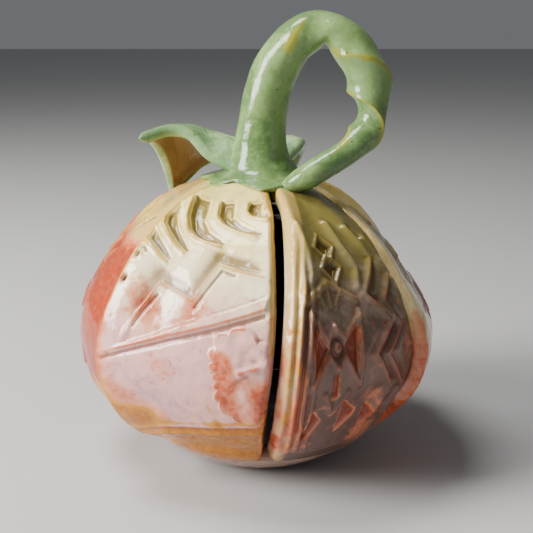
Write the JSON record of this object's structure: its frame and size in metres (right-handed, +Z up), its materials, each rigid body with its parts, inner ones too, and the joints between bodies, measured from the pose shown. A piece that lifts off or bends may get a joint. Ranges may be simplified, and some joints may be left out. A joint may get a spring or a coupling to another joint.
{
  "type": "ceramic pumpkin ornament",
  "caption": "Glazed hand-built ceramic pumpkin ornament: hollow slab-petal body on a dish base, with an open front slit, looped twisted stem and arching leaves.",
  "frame": {"origin": "centre of the flat foot under the base dish", "axes": "+Z up through the stem, -Y towards the front slit, +X to the right seen from the front"},
  "size_m": [0.1408, 0.1463, 0.1761],
  "materials": {
    "base_glaze": "glossy pinkish glaze with pinholes",
    "petal_glaze": "glossy cream, peach and coral mottled glaze breaking tan on ridges and ochre where it pools",
    "stem_glaze": "glossy celadon green glaze breaking olive on ridges",
    "leaf_glaze": "glossy celadon green glaze on top, thin tan-brown glaze underneath"
  },
  "bodies": {
    "root": {"base_dish": "base_glaze", "front_left_petal": "petal_glaze", "front_right_petal": "petal_glaze", "right_petal": "petal_glaze", "back_right_petal": "petal_glaze", "back_left_petal": "petal_glaze", "left_petal": "petal_glaze", "collar": "stem_glaze", "stem_loop": "stem_glaze", "left_leaf": "leaf_glaze", "back_leaf": "leaf_glaze"}
  },
  "joints": []
}
